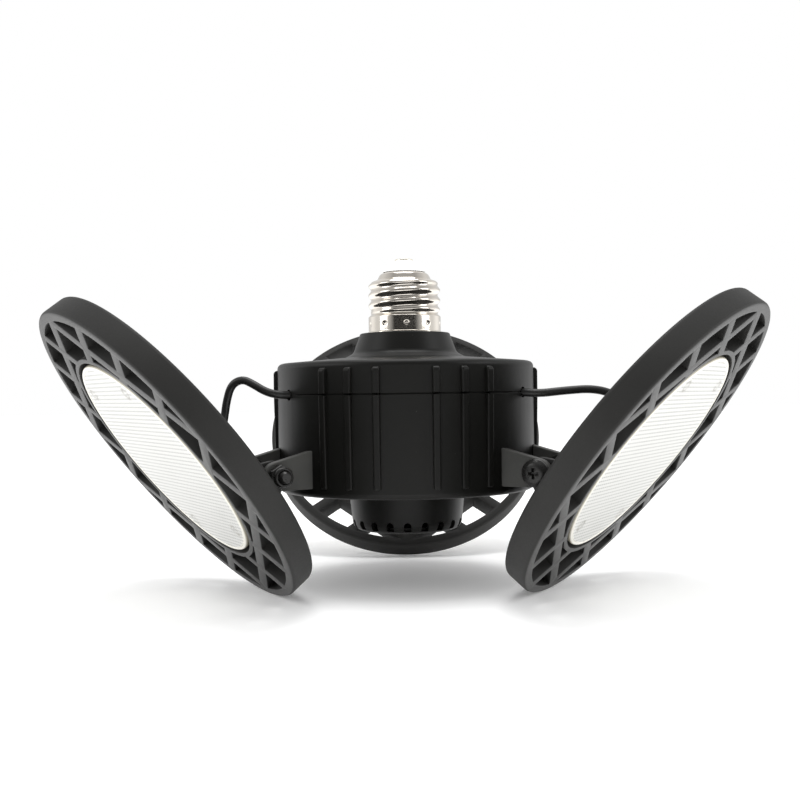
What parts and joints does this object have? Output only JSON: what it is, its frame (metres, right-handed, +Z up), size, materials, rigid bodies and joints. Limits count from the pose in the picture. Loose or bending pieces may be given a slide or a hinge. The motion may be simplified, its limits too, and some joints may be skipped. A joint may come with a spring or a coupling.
{
  "type": "deformable garage light",
  "caption": "Ceiling light that screws into a lamp holder, with round lattice panels that tilt on friction hinges.",
  "frame": {"origin": "on the light's axis, at the seat of the screw shell on the neck", "axes": "+Z up out of the screw cap; the camera side is -Y; heads stand at azimuth 90, 210 and 330 degrees from +X"},
  "size_m": [0.2434, 0.2267, 0.1163],
  "materials": {
    "nickel_plate": "bright nickel-plated brass",
    "white_ceramic": "white insulating glass",
    "contact_brass": "tinned brass",
    "housing_plastic": "satin moulded black",
    "cast_black": "matt black powder coat on a die casting",
    "circuit_board": "solder mask",
    "driver_parts": "moulded and wound components",
    "capacitor_sleeve": "shrink sleeve",
    "fuse_glass": "clear tube with caps",
    "terminal_plastic": "moulded",
    "wire_red": "insulated wire",
    "wire_white": "insulated wire",
    "zinc_steel": "zinc-plated",
    "black_steel": "black oxide",
    "led_board_white": "white solder mask on aluminium",
    "led_phosphor": "yellow phosphor",
    "lens_plastic": "prismatic diffuser",
    "black_rubber": "soft rubber",
    "lead_jacket": "round two-core jacket"
  },
  "bodies": {
    "housing": {"screw_shell": "nickel_plate", "cap_insulator": "white_ceramic", "centre_contact": "contact_brass", "upper_cover": "housing_plastic", "lower_housing": "housing_plastic", "vent_cup": "housing_plastic", "driver_board": "circuit_board", "transformer": "driver_parts", "bulk_capacitor": "capacitor_sleeve", "rectifier": "driver_parts", "choke": "driver_parts", "fuse": "fuse_glass", "output_terminals": "terminal_plastic", "live_wire": "wire_red", "neutral_wire": "wire_white", "board_screws": "zinc_steel", "housing_screws": "zinc_steel", "cup_screws": "zinc_steel", "hinge_bolt_left": "black_steel", "hinge_nut_left": "black_steel", "hinge_washers_left": "zinc_steel", "lead_left": "lead_jacket", "hinge_bolt_right": "black_steel", "hinge_nut_right": "black_steel", "hinge_washers_right": "zinc_steel", "lead_right": "lead_jacket", "hinge_bolt_back": "black_steel", "hinge_nut_back": "black_steel", "hinge_washers_back": "zinc_steel", "lead_back": "lead_jacket"},
    "head_left": {"head_frame_left": "cast_black", "led_board_left": "led_board_white", "led_chips_left": "led_phosphor", "lens_left": "lens_plastic", "led_board_screws_left": "zinc_steel", "lead_grommet_left": "black_rubber"},
    "head_right": {"head_frame_right": "cast_black", "led_board_right": "led_board_white", "led_chips_right": "led_phosphor", "lens_right": "lens_plastic", "led_board_screws_right": "zinc_steel", "lead_grommet_right": "black_rubber"},
    "head_back": {"head_frame_back": "cast_black", "led_board_back": "led_board_white", "led_chips_back": "led_phosphor", "lens_back": "lens_plastic", "led_board_screws_back": "zinc_steel", "lead_grommet_back": "black_rubber"}
  },
  "joints": [
    {"name": "tilt_left", "type": "hinge", "parent": "housing", "child": "head_left", "pos_m": [-0.0491, -0.02835, -0.0492], "axis": [-0.5, 0.866, 0], "range_deg": [-52, 38], "deforming": ["lead_left"]},
    {"name": "tilt_right", "type": "hinge", "parent": "housing", "child": "head_right", "pos_m": [0.0491, -0.02835, -0.0492], "axis": [-0.5, -0.866, 0], "range_deg": [-52, 38], "deforming": ["lead_right"]},
    {"name": "tilt_back", "type": "hinge", "parent": "housing", "child": "head_back", "pos_m": [0, 0.0567, -0.0492], "axis": [1, 0, 0], "range_deg": [-52, 38], "deforming": ["lead_back"]}
  ]
}
